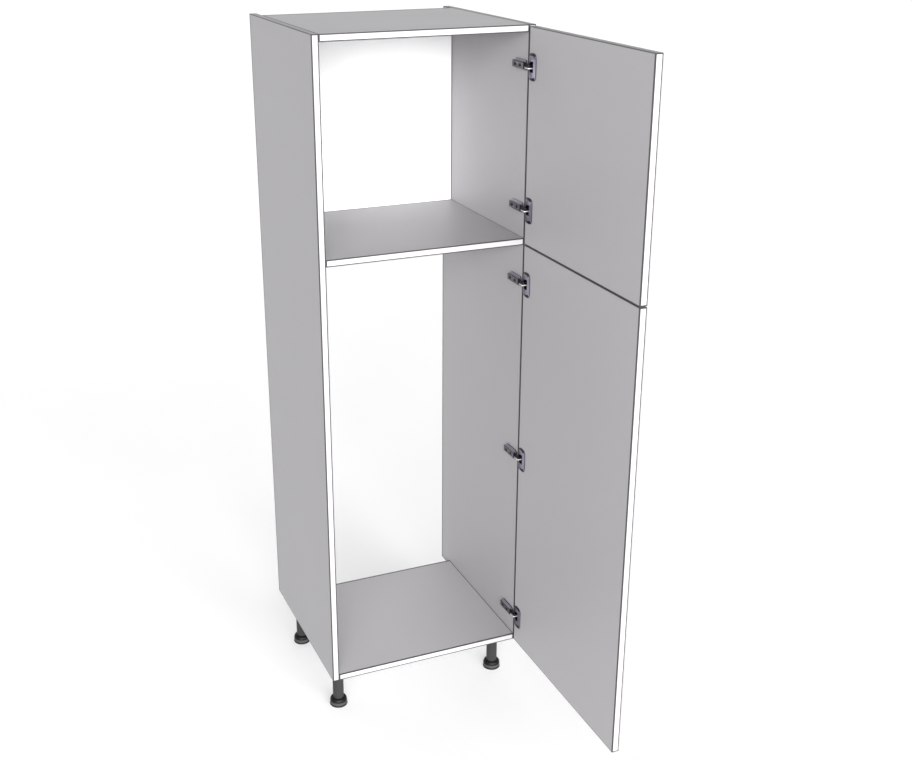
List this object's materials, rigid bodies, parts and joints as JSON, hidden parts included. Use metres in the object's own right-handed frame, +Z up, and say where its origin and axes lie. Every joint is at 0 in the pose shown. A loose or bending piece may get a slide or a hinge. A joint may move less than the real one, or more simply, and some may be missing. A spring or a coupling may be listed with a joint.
{
  "type": "fridge housing unit",
  "caption": "Tall kitchen cabinet with an upper cupboard, an open-backed niche for a fridge, right-hung doors on concealed hinges and adjustable legs.",
  "frame": {"origin": "on the floor, at the middle of the space that the unit takes up with both doors standing open at 90 degrees", "axes": "+Z up, the front faces -Y, +X to the right when looking at the front"},
  "size_m": [0.6, 1.155, 1.975],
  "materials": {
    "board": "smooth light grey melamine face",
    "back_board": "smooth white melamine face",
    "edging": "smooth white edging",
    "hinge_metal": "satin plated",
    "fixing_steel": "dark plated",
    "tube_plastic": "moulded dark grey",
    "foot_plastic": "moulded black"
  },
  "bodies": {
    "cabinet": {"left_side_panel": "board", "right_side_panel": "board", "top_panel": "board", "fixed_shelf": "board", "bottom_panel": "board", "upper_back_panel": "back_board", "left_side_edging": "edging", "right_side_edging": "edging", "top_panel_edging": "edging", "fixed_shelf_edging": "edging", "bottom_panel_edging": "edging", "hinge_arm_upper_top": "hinge_metal", "hinge_arm_upper_bottom": "hinge_metal", "hinge_arm_lower_top": "hinge_metal", "hinge_arm_lower_middle": "hinge_metal", "hinge_arm_lower_bottom": "hinge_metal", "hinge_plate_upper_top": "hinge_metal", "hinge_plate_upper_bottom": "hinge_metal", "hinge_plate_lower_top": "hinge_metal", "hinge_plate_lower_middle": "hinge_metal", "hinge_plate_lower_bottom": "hinge_metal", "leg_socket_front_left": "foot_plastic", "leg_socket_front_right": "foot_plastic", "leg_socket_back_left": "foot_plastic", "leg_socket_back_right": "foot_plastic", "leg_tube_front_left": "tube_plastic", "leg_tube_front_right": "tube_plastic", "leg_tube_back_left": "tube_plastic", "leg_tube_back_right": "tube_plastic"},
    "upper_door": {"upper_door_panel": "board", "upper_door_free_edging": "edging", "upper_door_hinge_edging": "edging", "hinge_cup_upper_top": "hinge_metal", "hinge_cup_upper_bottom": "hinge_metal", "hinge_pin_upper_top": "fixing_steel", "hinge_pin_upper_bottom": "fixing_steel", "cup_screw_upper_top_high": "fixing_steel", "cup_screw_upper_top_low": "fixing_steel", "cup_screw_upper_bottom_high": "fixing_steel", "cup_screw_upper_bottom_low": "fixing_steel"},
    "lower_door": {"lower_door_panel": "board", "lower_door_free_edging": "edging", "lower_door_hinge_edging": "edging", "hinge_cup_lower_top": "hinge_metal", "hinge_cup_lower_middle": "hinge_metal", "hinge_cup_lower_bottom": "hinge_metal", "hinge_pin_lower_top": "fixing_steel", "hinge_pin_lower_middle": "fixing_steel", "hinge_pin_lower_bottom": "fixing_steel", "cup_screw_lower_top_high": "fixing_steel", "cup_screw_lower_top_low": "fixing_steel", "cup_screw_lower_middle_high": "fixing_steel", "cup_screw_lower_middle_low": "fixing_steel", "cup_screw_lower_bottom_high": "fixing_steel", "cup_screw_lower_bottom_low": "fixing_steel"},
    "foot_front_left": {"leg_foot_front_left": "foot_plastic"},
    "foot_front_right": {"leg_foot_front_right": "foot_plastic"},
    "foot_back_left": {"leg_foot_back_left": "foot_plastic"},
    "foot_back_right": {"leg_foot_back_right": "foot_plastic"}
  },
  "joints": [
    {"name": "upper_door_swing", "type": "hinge", "parent": "cabinet", "child": "upper_door", "pos_m": [0.2895, 0.009, 1.6865], "axis": [0, 0, 1], "range_deg": [-90, 10]},
    {"name": "lower_door_swing", "type": "hinge", "parent": "cabinet", "child": "lower_door", "pos_m": [0.2895, 0.009, 0.776], "axis": [0, 0, 1], "range_deg": [-90, 10]},
    {"name": "foot_front_left_adjust", "type": "slide", "parent": "cabinet", "child": "foot_front_left", "axis": [0, 0, -1], "range_m": [0, 0.02]},
    {"name": "foot_front_right_adjust", "type": "slide", "parent": "cabinet", "child": "foot_front_right", "axis": [0, 0, -1], "range_m": [0, 0.02]},
    {"name": "foot_back_left_adjust", "type": "slide", "parent": "cabinet", "child": "foot_back_left", "axis": [0, 0, -1], "range_m": [0, 0.02]},
    {"name": "foot_back_right_adjust", "type": "slide", "parent": "cabinet", "child": "foot_back_right", "axis": [0, 0, -1], "range_m": [0, 0.02]}
  ]
}
